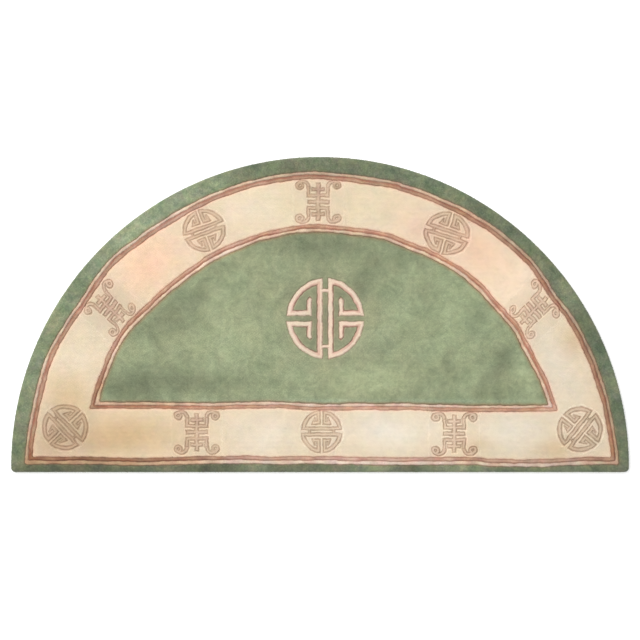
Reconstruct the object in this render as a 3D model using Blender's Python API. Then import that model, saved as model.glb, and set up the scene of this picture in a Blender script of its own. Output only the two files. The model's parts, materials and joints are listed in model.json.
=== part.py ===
"""Half-round hearth rug in carved wool pile, as one closed solid.

The straight edge runs along X at the low Y side, and the round edge rises towards +Y. The
origin is under the middle of the rug, on the surface it lies on, and +Z is up.

The upper face is a family of half-round lines, one inside the other: the rounded rim, a plain
band, a pair of narrow guard lines with a carved groove on each side, a wide border, the same
guard turned inwards, and the plain field.
"""
import math
from collections import namedtuple

import bmesh
import bpy

MM = 0.001

# Driving sizes, in metres
HALF_WIDTH = 0.685          # from the arc's centre to the rug's left and right ends
ARC_RISE = 0.687            # from the arc's centre to the top of the round edge
BASE_DROP = 0.012           # how far the straight edge lies past the arc's centre
THICKNESS = 0.015           # backing and pile together
CORNER_RADIUS = 0.010       # the rug's two corners
LINE_CORNER_RADIUS = 0.004  # the corners of the guard lines
GROOVE_WIDTH = 0.0030       # a carved groove, lip to lip
GROOVE_DEPTH = 0.0035
CREST_DROP = 0.0004         # the narrow guard lines stand a little lower than the wide fields

DEPTH = ARC_RISE + BASE_DROP
ARC_CENTRE_Y = BASE_DROP - DEPTH / 2.0

# Points on each line: the arc, each corner and the straight stretch
ARC_STEPS = 96
CORNER_STEPS = 4
BASE_STEPS = 24

# The rim in section, from the underside up: distance in from the outline, and height
RimRow = namedtuple("RimRow", "inset_mm height_mm")
RIM = (
    RimRow(4.5, 0.0),
    RimRow(0.6, 3.2),
    RimRow(0.0, 7.5),
    RimRow(1.4, 11.8),
    RimRow(5.5, 15.0),
)

# The carved grooves from the outside in: distance in from the outline on the arc and at the
# straight edge, and the guard that the groove belongs to
GrooveRow = namedtuple("GrooveRow", "arc_mm base_mm guard")
GROOVES = (
    GrooveRow(33.8, 15.8, "outer"),
    GrooveRow(40.4, 23.8, "outer"),
    GrooveRow(49.6, 31.7, "outer"),
    GrooveRow(152.7, 138.0, "inner"),
    GrooveRow(161.1, 145.6, "inner"),
    GrooveRow(168.0, 151.9, "inner"),
)

# The guards wander a little, as hand-laid lines do. Around the arc, by bearing from +X:
# how far each guard lies outwards of its place
ArcDrift = namedtuple("ArcDrift", "bearing_deg outer_mm inner_mm")
ARC_DRIFT = (
    ArcDrift(0, 10, 8),
    ArcDrift(12, 5, 9),
    ArcDrift(20, 3, 6),
    ArcDrift(26, 2, 3),
    ArcDrift(30, 1, 3),
    ArcDrift(36, -4, 7),
    ArcDrift(40, 0, 4),
    ArcDrift(44, 5, 4),
    ArcDrift(48, 5, 7),
    ArcDrift(53, 5, 8),
    ArcDrift(58, 3, 6),
    ArcDrift(68, 0, 2),
    ArcDrift(74, 0, 4),
    ArcDrift(82, -3, 0),
    ArcDrift(94, 1, 2),
    ArcDrift(103, -1, -1),
    ArcDrift(112, -3, -4),
    ArcDrift(118, -4, -5),
    ArcDrift(122, -5, -8),
    ArcDrift(128, -3, -9),
    ArcDrift(135, 2, -8),
    ArcDrift(146, -6, 0),
    ArcDrift(150, -3, 0),
    ArcDrift(158, 2, -5),
    ArcDrift(168, -1, -7),
    ArcDrift(180, 2, -6),
)

# Along the straight edge, by distance from the middle: how far each guard lies up the rug
BaseDrift = namedtuple("BaseDrift", "x_mm outer_mm inner_mm")
BASE_DRIFT = (
    BaseDrift(-640, 2, 3),
    BaseDrift(-530, 2, 3),
    BaseDrift(-400, -1, 3),
    BaseDrift(-240, 3, 1),
    BaseDrift(-180, 4, 3),
    BaseDrift(-100, 2, 4),
    BaseDrift(0, 3, -1),
    BaseDrift(90, 1, 0),
    BaseDrift(180, 0, 0),
    BaseDrift(300, 1, -3),
    BaseDrift(345, 1, -4),
    BaseDrift(380, -3, -4),
    BaseDrift(440, -4, -4),
    BaseDrift(500, -4, -3),
    BaseDrift(545, -1, -1),
    BaseDrift(590, 1, 0),
    BaseDrift(640, 1, 0),
)

WOOL_COLOUR = (0.45, 0.47, 0.34, 1.0)


def clear_scene():
    for thing in list(bpy.data.objects):
        bpy.data.objects.remove(thing, do_unlink=True)


def drift(rows, where, guard):
    """How far a guard has wandered, read from a drift table with no corner at its rows."""
    if guard is None:
        return 0.0
    column = {"outer": 1, "inner": 2}[guard]
    if where <= rows[0][0]:
        return rows[0][column] * MM
    for low, high in zip(rows, rows[1:]):
        if where <= high[0]:
            share = (where - low[0]) / (high[0] - low[0])
            eased = share * share * (3.0 - 2.0 * share)
            return (low[column] + (high[column] - low[column]) * eased) * MM
    return rows[-1][column] * MM


def arc_point(bearing, inset, guard):
    """A point on the round side, at a bearing in radians about the arc's centre."""
    shift = drift(ARC_DRIFT, math.degrees(bearing), guard) - inset
    x = (HALF_WIDTH + shift) * math.cos(bearing)
    y = ARC_CENTRE_Y + (ARC_RISE + shift) * math.sin(bearing)
    return x, y


def base_height(x, inset, guard):
    """Y of the straight side at x."""
    return -DEPTH / 2.0 + inset + drift(BASE_DRIFT, x / MM, guard)


def corner(side, arc_inset, base_inset, radius, guard):
    """Centre of the round corner on the right (side 1) or left (side -1), and where the arc
    starts from it, as a bearing."""
    bearing = 0.0
    centre_x = 0.0
    centre_y = 0.0
    for _ in range(6):
        at = bearing if side > 0 else math.pi - bearing
        edge_x, _edge_y = arc_point(at, arc_inset + radius, guard)
        centre_y = base_height(edge_x, base_inset, guard) + radius
        rise = centre_y - ARC_CENTRE_Y
        reach = HALF_WIDTH - arc_inset - radius + drift(ARC_DRIFT, math.degrees(at), guard)
        centre_x = math.sqrt(reach * reach - rise * rise)
        bearing = math.atan2(rise, centre_x)
    return side * centre_x, centre_y, bearing


def half_round(arc_inset, base_inset, radius, guard=None):
    """One closed line, anticlockwise from the right corner: arc, left corner, straight side
    and right corner, always with the same number of points."""
    right_x, right_y, right_bearing = corner(1, arc_inset, base_inset, radius, guard)
    left_x, left_y, left_bearing = corner(-1, arc_inset, base_inset, radius, guard)
    points = []
    first, last = right_bearing, math.pi - left_bearing
    for step in range(ARC_STEPS):
        bearing = first + (last - first) * step / ARC_STEPS
        points.append(arc_point(bearing, arc_inset, guard))
    for step in range(CORNER_STEPS):
        turn = last + (1.5 * math.pi - last) * step / CORNER_STEPS
        points.append((left_x + radius * math.cos(turn), left_y + radius * math.sin(turn)))
    for step in range(BASE_STEPS):
        x = left_x + (right_x - left_x) * step / BASE_STEPS
        points.append((x, base_height(x, base_inset, guard)))
    for step in range(CORNER_STEPS):
        turn = -0.5 * math.pi + (first + 0.5 * math.pi) * step / CORNER_STEPS
        points.append((right_x + radius * math.cos(turn), right_y + radius * math.sin(turn)))
    return points


def section_lines():
    """Every line of the rug from the underside over the rim and in to the field, each with its
    height."""
    lines = []
    for row in RIM:
        inset = row.inset_mm * MM
        lines.append((half_round(inset, inset, CORNER_RADIUS), row.height_mm * MM))
    for place, row in enumerate(GROOVES):
        first_of_guard = place % 3 == 0
        last_of_guard = place % 3 == 2
        outside = THICKNESS if first_of_guard else THICKNESS - CREST_DROP
        inside = THICKNESS if last_of_guard else THICKNESS - CREST_DROP
        section = (
            (-GROOVE_WIDTH / 2.0, outside),
            (0.0, THICKNESS - GROOVE_DEPTH),
            (GROOVE_WIDTH / 2.0, inside),
        )
        for shift, height in section:
            arc_inset = row.arc_mm * MM + shift
            base_inset = row.base_mm * MM + shift
            line = half_round(arc_inset, base_inset, LINE_CORNER_RADIUS, row.guard)
            lines.append((line, height))
    return lines


def wool_material():
    material = bpy.data.materials.new("wool_pile")
    material.use_nodes = True
    surface = material.node_tree.nodes["Principled BSDF"]
    surface.inputs["Base Color"].default_value = WOOL_COLOUR
    surface.inputs["Roughness"].default_value = 0.95
    surface.inputs["Metallic"].default_value = 0.0
    return material


def rug(collection):
    """Loft the lines into one closed body, with the underside and the field as its two caps."""
    shape = bmesh.new()
    rings = [
        [shape.verts.new((x, y, height)) for x, y in line]
        for line, height in section_lines()
    ]
    for outer, inner in zip(rings, rings[1:]):
        for here in range(len(outer)):
            after = (here + 1) % len(outer)
            shape.faces.new((outer[here], outer[after], inner[after], inner[here]))
    shape.faces.new(list(reversed(rings[0])))
    shape.faces.new(rings[-1])
    bmesh.ops.recalc_face_normals(shape, faces=shape.faces)
    bmesh.ops.triangulate(shape, faces=shape.faces)
    mesh = bpy.data.meshes.new("rug")
    shape.to_mesh(mesh)
    shape.free()
    mesh.materials.append(wool_material())
    mesh.shade_smooth()
    mesh.set_sharp_from_angle(angle=math.radians(40.0))
    body = bpy.data.objects.new("rug", mesh)
    collection.objects.link(body)
    return body


def main():
    clear_scene()
    collection = bpy.data.collections.new("chinese_rug")
    bpy.context.scene.collection.children.link(collection)
    rug(collection)


main()
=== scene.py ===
"""A half-round hearth rug in carved wool pile, tufted row by row, with its stage.

Plan sizes and places are in millimetres, measured from the centre of the round edge: x to the
right along the straight edge, y up the rug. Each bed of pile is a field of small tufts. A tuft is
six faces round a raised tip, and the tufts along a carved line share that line as their edge.
"""
import json
import math
from collections import namedtuple
from types import SimpleNamespace

import bpy
import numpy as np
from bpy.props import FloatProperty, FloatVectorProperty, PointerProperty
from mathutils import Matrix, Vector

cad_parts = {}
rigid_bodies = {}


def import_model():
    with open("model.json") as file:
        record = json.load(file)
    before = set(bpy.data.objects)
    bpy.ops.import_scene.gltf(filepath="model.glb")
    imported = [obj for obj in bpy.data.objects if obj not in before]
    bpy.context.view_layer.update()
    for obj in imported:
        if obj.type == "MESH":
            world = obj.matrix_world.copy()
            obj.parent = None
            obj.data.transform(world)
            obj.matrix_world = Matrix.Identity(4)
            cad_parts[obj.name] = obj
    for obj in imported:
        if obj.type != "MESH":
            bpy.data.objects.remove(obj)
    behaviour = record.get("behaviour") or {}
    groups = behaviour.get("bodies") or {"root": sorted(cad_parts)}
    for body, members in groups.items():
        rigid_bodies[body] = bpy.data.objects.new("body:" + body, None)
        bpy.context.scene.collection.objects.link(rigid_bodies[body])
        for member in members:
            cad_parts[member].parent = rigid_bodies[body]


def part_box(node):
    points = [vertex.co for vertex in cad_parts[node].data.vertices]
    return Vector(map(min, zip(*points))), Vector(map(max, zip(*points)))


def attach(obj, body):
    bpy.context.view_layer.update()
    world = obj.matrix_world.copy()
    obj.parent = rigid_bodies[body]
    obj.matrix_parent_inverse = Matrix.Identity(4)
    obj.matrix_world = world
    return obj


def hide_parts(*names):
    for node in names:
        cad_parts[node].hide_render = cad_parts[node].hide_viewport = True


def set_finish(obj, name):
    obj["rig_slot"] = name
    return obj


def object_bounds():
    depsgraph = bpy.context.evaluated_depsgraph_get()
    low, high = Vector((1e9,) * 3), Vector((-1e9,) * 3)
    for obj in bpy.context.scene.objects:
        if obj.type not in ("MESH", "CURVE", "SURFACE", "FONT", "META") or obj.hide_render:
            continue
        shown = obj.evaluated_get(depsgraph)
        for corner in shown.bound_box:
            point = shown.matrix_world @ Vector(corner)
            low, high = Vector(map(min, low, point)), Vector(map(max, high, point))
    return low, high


bl_info = {
    "name": "Half-round carved wool rug",
    "version": (1, 0, 0),
    "blender": (4, 5, 0),
    "location": "View3D > Sidebar > Rug",
    "description": "Builds a half-round hearth rug in carved wool pile, and its stage",
    "category": "Object",
}

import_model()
CAD_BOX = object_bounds()
LOW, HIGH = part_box("rug")

MM = 0.001
HALF_WIDTH = HIGH.x / MM
DEPTH = (HIGH.y - LOW.y) / MM
BASE_DROP = 12.0                       # the straight edge lies this far past the arc's centre
ARC_RISE = DEPTH - BASE_DROP
ARC_CENTRE_Y = HIGH.y / MM - ARC_RISE  # in the frame
THICKNESS = HIGH.z / MM
OUTLINE_CORNER = 10.0
LINE_CORNER = 4.0
LINE_STRAY = 0.9                       # how far the shears stray from a line
CREST_DROP = 0.4                       # the narrow lines stand a little lower

# The pile turns down over the rim: where the turn starts, and where the foot of it ends,
# both measured in from the outline
SHOULDER = 6.0
FOOT = 4.5

# How the shears stray along a line: the share, the reach and the phase of each wave
HAND = ((0.9, 15.0, 0), (0.6, 5.5, 9), (0.45, 2.6, 17))

# The carved lines from the outside in, by their distance in from the outline on the arc and at
# the straight edge, and the guard that they belong to
Line = namedtuple("Line", "arc base guard")
LINES = (
    Line(33.8, 15.8, "outer"),
    Line(40.4, 23.8, "outer"),
    Line(49.6, 31.7, "outer"),
    Line(152.7, 138.0, "inner"),
    Line(161.1, 145.6, "inner"),
    Line(168.0, 151.9, "inner"),
)

# How far each guard wanders outwards, by bearing in degrees
Drift = namedtuple("Drift", "at outer inner")
ARC_DRIFT = [Drift(*row) for row in (
    (0, 10, 8), (12, 5, 9), (20, 3, 6), (26, 2, 3), (30, 1, 3), (36, -4, 7), (40, 0, 4),
    (44, 5, 4), (48, 5, 7), (53, 5, 8), (58, 3, 6), (68, 0, 2), (74, 0, 4), (82, -3, 0),
    (94, 1, 2), (103, -1, -1), (112, -3, -4), (118, -4, -5), (122, -5, -8), (128, -3, -9),
    (135, 2, -8), (146, -6, 0), (150, -3, 0), (158, 2, -5), (168, -1, -7), (180, 2, -6),
)]
# and how far it wanders up the rug along the straight side, by x
BASE_DRIFT = [Drift(*row) for row in (
    (-640, 2, 3), (-530, 2, 3), (-400, -1, 3), (-240, 3, 1), (-180, 4, 3), (-100, 2, 4),
    (0, 3, -1), (90, 1, 0), (180, 0, 0), (300, 1, -3), (345, 1, -4), (380, -3, -4),
    (440, -4, -4), (500, -4, -3), (545, -1, -1), (590, 1, 0), (640, 1, 0),
)]

# A round figure: a ring, two long bars with a slot between them that two links close, and four
# hooks. The slot may splay past its links. A hook's end slopes off from its point, and a barb may
# turn back from it. Stray is how far the hand strays from the edges.
SMALL_ROUND = SimpleNamespace(
    radius=46.5, ring=7.2, slot=3.2, splay=0.12, bar=9.8, link_low=26.0, link_high=30.0, gap=3.3,
    hook=10.2, stub_low=16.2, stub_high=22.4, barb_low=14.4, barb_high=30.0, tip=22.0, point=0.5,
    slope=0.45, stray=0.8,
)
LARGE_ROUND = SimpleNamespace(
    radius=87.6, ring=12.4, slot=6.3, splay=0.0, bar=18.2, link_low=57.0, link_high=64.5, gap=6.1,
    hook=17.6, stub_low=31.0, stub_high=41.6, barb_low=17.6, barb_high=41.6, tip=46.5, point=4.2,
    slope=1.1, stray=0.8,
)

# A fret: a ladder of a spine, a middle bar, two trays and two crosses, and four stems whose arms
# bend round into scrolls. Nub is how sharply a bend is cut off under its scroll. A fret is drawn
# in over its height, and leans fully from lean_reach on.
FRET = SimpleNamespace(
    spine=3.9, spine_end=41.0, middle=3.8, middle_end=23.7, tray_low=10.6, tray_high=17.4,
    tray_end=24.4, cross_low=23.8, cross_high=31.2, cross_end=14.2, stem_low=18.2, stem_high=24.6,
    stem_end=33.0, bend_x=34.5, bend_y=32.0, bend_radius=13.0, bend=3.3, curl_x=41.2, curl_y=36.5,
    curl_low=2.6, curl_high=9.0, nub=0.7, height=73.0, lean_reach=36.0, stray=0.9,
)

# Where hand-dyed wool changes its colour, and painted shade where the pile lies one way or another:
# centre, reach, and then how much lighter it is, how much straw and how much blush there is in it, and its
# turn in degrees
Patch = namedtuple("Patch", "x y reach_x reach_y light straw blush turn", defaults=(0, 0, 0))

# Where each figure lies: its centre, its turn in degrees, its half sizes across and along the
# bars, how strongly its edges are cut, and how much lighter its strokes are than their wool
Place = namedtuple("Place", "x y turn half_across half_along cut light")
MEDALLION = Place(11.8, 328.4, 0.0, 85.8, 89.2, 1.0, 0.0)
ROUNDELS = (
    Place(-563.9, 87.4, 43.5, 49.5, 49.5, 0.85, 0.1),
    Place(-256.3, 523.4, -70.0, 46.2, 46.2, 0.95, 0.0),
    Place(281.3, 516.6, 72.0, 46.6, 50.0, 1.0, 0.1),
    Place(575.9, 82.8, -38.5, 48.8, 48.8, 1.05, -0.05),
    Place(3.8, 78.0, 90.0, 46.8, 44.6, 0.92, 0.2),
)
# The frets, with how far their two ends are drawn in, and how far their arms lean
Fret = namedtuple("Fret", "x y turn outer_end inner_end lean cut light")
FRETS = (
    Fret(-463.8, 350.4, 46.0, 0.93, 0.83, 0.11, 1.0, 0.2),
    Fret(-3.5, 586.7, 0.0, 1.0, 1.0, 0.0, 0.85, 0.0),
    Fret(473.7, 346.3, -44.5, 0.96, 0.83, -0.17, 0.95, 0.3),
    Fret(-272.4, 76.4, 0.0, 1.0, 1.0, 0.0, 0.95, -0.1),
    Fret(297.7, 73.1, 0.0, 1.0, 1.0, 0.0, 1.12, 0.05),
)
FRET_REACH = 72.0                       # a fret is worked out this far from its centre
FIGURE_CLEAR = 12.0                     # and a round figure this far past its half size

# The ground that is made with a figure in finer tufts. Beside the roundels on the slopes and on
# the straight side it runs on to both guards, because the gaps there are too sharp for the
# border's wide-set tufts.
LARGE_MARGIN = 4.5                      # how far it goes past a figure's ring
SMALL_MARGIN = 3.6
FRET_HALF = 55.0                        # its half width round a fret
GAP_HALF = 30.0                         # and where it runs on beside a roundel
TO_GUARD = 90.0                         # further than either guard is from a figure's centre
CORNER_X = 500.0                        # the two corner roundels lie beyond this
STRAIGHT_SIDE_Y = 120.0                 # figures on the straight side lie below this
EDGE_WAVE = 2.4                         # reach of the waves in its edge
BED_MARGIN = 18.0                       # how far the box of a bed goes past its figure
MEDALLION_BOX = 98.0                    # half the box of the medallion's bed

# Darker and pinker wool in the strokes of the frets
STROKE_PATCHES = [Patch(*row) for row in (
    (-3.5, 612, 13, 11, -1.1, 0, 0.8),
    (-44, 623, 9, 9, -1, 0.5),
    (37, 622, 9, 9, -1.2, 0.5),
    (-25, 600, 9, 30, -0.3, 0.3),
    (-3.5, 562, 16, 10, -0.5, 0.3),
    (-464.6, 351, 26, 26, -0.5, 0, 0.5),
    (473, 348.4, 30, 30, -0.2, 0, 0.2),
    (-272.4, 103, 14, 10, -0.7, 0, 0.5),
)]

FIELD_PATCHES = [Patch(*row) for row in (
    (0, 495, 110, 32, -1.3),
    (-320, 330, 55, 40, -1.17, 0, 0, 20),
    (-395, 312, 40, 24, -0.78, 0, 0, 10),
    (-265, 382, 30, 22, -0.65, 0, 0, 40),
    (-400, 182, 90, 34, -1.43),
    (-240, 188, 110, 20, -0.78),
    (-220, 440, 90, 16, -0.4, 0, 0, 30),
    (-200, 285, 95, 85, 0.5),
    (-55, 235, 45, 70, 0.35),
    (-460, 172, 45, 22, -0.6, 0, -0.3),
    (300, 320, 130, 120, 0.3, 0, -0.2),
    (100, 275, 60, 30, 0.35, -0.2),
    (-215, 470, 30, 25, 0.6),
    (100, 192, 90, 34, 1.04, 0.1),
    (165, 330, 60, 50, 0.52),
    (230, 360, 15, 60, -0.35, 0, 0, -8),
    (350, 320, 20, 40, -0.65),
    (400, 220, 70, 20, -1.04, 0, 0, 62),
    (280, 210, 15, 60, -0.52, 0, 0, -10),
    (150, 270, 60, 12, -0.45, 0, 0, 40),
    (110, 440, 25, 60, -0.91, 0, 0, -20),
    (190, 470, 40, 24, -0.5, 0, 0, -20),
    (-130, 400, 10, 90, -0.26),
    (455, 200, 14, 70, 0.78, 0, 0, 20),
    (130, 480, 30, 18, 0.52),
    (12, 328, 88, 88, -0.62, 0, 1.1),
    (0, 144, 430, 6, 0.2, -0.6),
)]
BORDER_PATCHES = [Patch(*row) for row in (
    (-430, 70, 115, 48, -0.62, 1.15),
    (-560, 160, 55, 50, -0.4, 0.75),
    (-540, 240, 45, 50, 0, -0.3),
    (-380, 450, 80, 60, 0.1, 0.35, 1, 40),
    (-150, 570, 60, 35, 0.05, -0.3, 0, 15),
    (-75, 580, 45, 35, -0.05, 0.2, -0.3),
    (100, 580, 50, 35, -0.05, 0.2, -0.3),
    (230, 525, 55, 38, 0, 0, 0.7, -25),
    (350, 480, 80, 55, 0, 0.2, 0.8, -40),
    (430, 400, 55, 55, 0.15, -0.2, 0.3),
    (525, 230, 40, 95, 0.05, -0.55, 0, 20),
    (562, 280, 26, 30, -0.4, 0.5),
    (150, 80, 105, 48, 0.2, -0.8),
    (430, 80, 90, 48, 0.15, -0.65),
    (350, 48, 40, 20, -0.35, 0.4),
    (520, 40, 40, 22, -0.4, 0.6),
    (-120, 70, 80, 48, 0.1, -0.55),
    (410, 390, 140, 130, 0.33),
    (-600, 45, 60, 50, -0.65, 0.4, 0.3),
    (-500, 50, 40, 30, -0.35, 0.2),
    (220, 80, 240, 48, 0.15),
    (560, 130, 45, 60, 0.15),
    (0, 586, 60, 40, -0.1),
    (473, 347, 55, 50, -0.2),
    (-464, 349, 60, 60, -0.55),
    (-564, 87, 60, 60, -0.7),
    (-256, 523, 60, 50, -0.22, 0.1, 0.3),
    (281, 517, 52, 46, -0.25),
    (298, 73, 55, 50, 0.25),
)]
BAND_PATCHES = [Patch(*row) for row in (
    (-360, 555, 65, 40, 1.5, 0, 0, 35),
    (-432, 500, 60, 40, 1.6, 0, 0, 45),
    (-495, 440, 50, 40, 1.3, 0, 0, 50),
    (-250, 612, 60, 36, 1.3, 0, 0, 22),
    (-560, 350, 60, 55, 1),
    (-640, 170, 36, 70, 0.6),
    (0, 660, 150, 32, -0.5),
    (400, 530, 95, 50, -0.5, 0, 0, -35),
    (600, 300, 55, 85, -0.75),
    (550, 380, 28, 30, 0.6),
    (650, 100, 36, 70, -0.5),
    (0, -4, 900, 17, -0.8, 0, 0.3),
    (-560, -4, 110, 17, -0.9, 0.3, 0.2),
    (-240, -4, 70, 17, -0.7, 0, 0.2),
    (-140, -2, 34, 14, 1.5),
    (15, -4, 60, 17, 0.4),
    (120, -2, 46, 14, 2.2),
    (204, -4, 18, 14, -1.2),
    (320, -2, 90, 14, 1.9),
    (520, -4, 70, 17, 0.9),
    (-612, 270, 45, 70, 0.6, 0, 0, 20),
    (-500, 440, 40, 30, -0.5, 0, 0, 40),
    (640, 180, 50, 120, 0.4),
)]

# How the dye of the narrow lines changes along them: how much lighter each line is, and how much
# straw there is in each pair
Tone = namedtuple("Tone", "at outer_ivory outer_rust inner_ivory inner_rust outer_straw inner_straw")
# by bearing on the arc
ARC_TONE = [Tone(*row) for row in (
    (0, -1.1, -0.3, 0.0, 0.5, 0.8, 0.2),
    (16, -1.2, -0.3, -0.1, 0.7, 0.6, 0.1),
    (24, -1.9, -0.7, 0.2, 0.6, 0.5, 0.2),
    (34, -0.9, -0.3, -0.1, 0.6, 0.3, 0.3),
    (50, -1.0, -0.4, 0.1, 0.6, 0.4, 0.1),
    (58, -0.3, -0.3, 0.2, 0.8, 0.5, 0.1),
    (68, -0.2, 0.0, 0.3, 0.8, 0.2, 0.1),
    (80, -0.7, 0.1, -0.3, 0.7, 0.3, 0.1),
    (94, -1.1, -0.1, -0.1, 0.3, 0.1, 0.2),
    (104, -0.2, 0.0, 0.0, 0.6, 0.0, 0.0),
    (120, 0.1, 0.0, 0.5, 0.8, -0.2, -0.4),
    (128, -0.1, 0.2, 0.0, 0.5, -0.3, 0.1),
    (140, -0.3, -0.1, -0.2, 0.2, 0.0, 0.1),
    (152, -0.2, 0.2, 0.3, 0.1, -0.1, -0.1),
    (160, -0.2, 0.0, -0.5, -0.6, 0.0, 0.8),
    (168, -0.6, -0.1, -0.3, -0.5, 0.1, 0.6),
    (180, -1.3, -0.7, -0.3, -0.5, 0.8, 0.6),
)]
# and by x on the straight side
BASE_TONE = [Tone(*row) for row in (
    (-640, -1.5, -1.5, 0.0, 0.0, 1.3, 0.0),
    (-520, -1.5, -1.6, -0.3, -0.5, 1.1, 0.5),
    (-440, -1.2, -1.1, -0.4, -0.2, 1.1, 0.6),
    (-360, -0.6, -1.0, -0.3, 0.1, 0.7, 0.6),
    (-280, -0.2, -0.6, -0.1, 0.5, 0.5, 0.2),
    (-200, 0.1, 0.3, 0.0, 0.6, -0.4, 0.1),
    (-80, 0.1, 0.7, 0.1, 0.4, -0.5, -0.2),
    (40, 0.3, 0.8, 0.3, 0.9, -0.6, -0.3),
    (140, 0.4, 1.2, 0.1, 0.8, -0.7, -0.3),
    (240, 0.2, 1.0, 0.5, 0.8, -0.6, -0.3),
    (360, -0.2, 0.1, 0.4, 0.7, -0.1, 0.0),
    (440, 0.1, 0.6, 0.3, 0.6, -0.6, 0.1),
    (520, -0.1, 0.5, 0.2, 1.1, -0.5, -0.2),
    (600, -0.5, -0.2, 0.2, 0.8, 0.0, -0.2),
    (640, -0.7, -0.4, 0.2, 0.6, 0.3, -0.2),
)]
STREAK = (-0.30, -0.66, -0.74)          # the redder streak along a rust line, beside the ivory
STREAK_OFF = 2.2                        # how far it lies from the ivory line
STREAK_STRAY = 1.1                      # how far it wanders from there
STREAK_WIDTH = 1.3
STREAK_FADE = (-300.0, -180.0)          # where along the straight side it fades
FADED = 0.45                            # and how much of it is left from there on
BLOTCH = 0.45                           # how unevenly the narrow lines took their dye

LIGHTER = (0.30, 0.30, 0.30)
STRAW = (0.0, -0.12, -0.30)
BLUSH = (0.07, -0.07, -0.03)
TONES = np.array([LIGHTER, STRAW, BLUSH])

# The rust dye that has run a little into the wool beside the lines, and how far
RUN_INTO_BAND = (0.10, -0.03, -0.08)
RUN_INTO_FIELD = (0.05, -0.33, -0.42)
RUN_INTO_IVORY = (0.09, 0.0, 0.0)
NO_RUN = (0.0, 0.0, 0.0)
RUN_REACH = 4.8

# The ivory ground close beside a small figure's strokes is duller and pinker
BESIDE = (-0.02, -0.055, -0.045)
BESIDE_REACH = 6.0

# A painted highlight on the open edge of the pile beside a figure's cut, where it would catch the light:
# how much lighter it is, and how far out it lies and how wide it is, in reaches of the cut
CREST_HIGHLIGHT = (0.18, 0.18, 0.18)
CREST_OFF = 1.7
CREST_WIDTH = 0.5
STROKE_SHOULDER = 2.0                   # a raised stroke reaches its height this far in

# The dark outline of the medallion, partly its own dark wool and partly painted shade in the cut: how
# strong it is, and how much more so at its pink bevel. Then the bevel's width on each bar, on the ring and
# on the hooks, and how softly it ends.
OUTLINE_MARK = 0.62
BEVEL_MARK = 0.6
BEVEL_LEFT_BAR = 6.5
BEVEL_RIGHT_BAR = 2.6
BEVEL_RING = 5.2
BEVEL_HOOK = 3.4
BEVEL_SOFT = 1.6
BEVEL_GAP = 6.0                         # keeps it off the sides of the hooks that face the bars
RING_ZONE = 70.0                        # the ring's width holds this far from the centre

# A tuft's measures, in shares of the distance between tufts
ROW_STEP = math.sqrt(3.0) / 2.0         # from one row to the next
JITTER = 0.2                            # how far it stands out of its place
CLEAR = 0.34                            # how far it keeps from a line
CORNER_MOVE = 0.8                       # how far a corner is drawn onto a line
LEAN = 0.10                             # how far its tip leans
SLIVER = 0.02                           # its smallest face's doubled area, by the pitch squared
CORNER_UNEVEN = 0.08                    # in millimetres: how unevenly high its corners lie
LOWEST = 0.05                           # in millimetres: how far the pile stays off the floor

RIM_MARGIN = 6.0                        # how far the whole rug's lattice goes past the rim
INNER_MARGIN = 20.0                     # how far the inner lattice stays in from the outline
BACKING_INSET = 5.0                     # how far the cloth stays in from the outline

# The stage, in metres
WHITE = (1.0, 1.0, 1.0, 1.0)
FLOOR_REACH = 9.0
KEY_SIZE = 2.2
KEY_PLACE = (-1.6, 1.5, 3.0)            # from the rug's middle, and the height above the floor
SENSOR_MM = 36.0


def length(name, about, default):
    return FloatProperty(name=name, description=about, default=default, unit="LENGTH", precision=5)


def colour(name, about, default):
    return FloatVectorProperty(
        name=name, description=about, default=default, subtype="COLOR", size=3, min=0.0, max=1.0
    )


class RugSizes(bpy.types.PropertyGroup):
    ground_pitch: length("Ground tufts", "Distance between tufts in the wide beds", 0.0032)
    line_pitch: length("Line tufts", "Distance between tufts in the narrow lines", 0.0025)
    figure_pitch: length("Figure tufts", "Distance between tufts in the carved figures", 0.0019)
    medallion_pitch: length("Medallion tufts", "Distance between tufts in the medallion", 0.0020)
    groove: length("Groove depth", "Depth of the carving beside the narrow lines", 0.0035)
    groove_reach: length("Groove reach", "How far the carving slopes off on each side", 0.0016)
    figure_cut: length("Figure cut", "Depth of the carving round the small figures", 0.0028)
    figure_reach: length("Figure cut reach", "How far that carving slopes off", 0.0017)
    medallion_cut: length("Medallion cut", "Depth of the carving round the medallion", 0.0028)
    medallion_reach: length("Medallion cut reach", "How far that carving slopes off", 0.0015)
    raised: length("Raised", "How far a figure's strokes stand above the pile round them", 0.0008)
    tip: length("Tip rise", "How far a tuft's tip stands above the pile's level", 0.00035)
    dip: length("Dip between tufts", "Depth of the pile between two wide-set tufts", 0.0007)
    uneven: length("Uneven cut", "How unevenly the tufts are cut", 0.00022)
    backing: length("Backing", "Thickness of the cotton backing", 0.0016)


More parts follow.
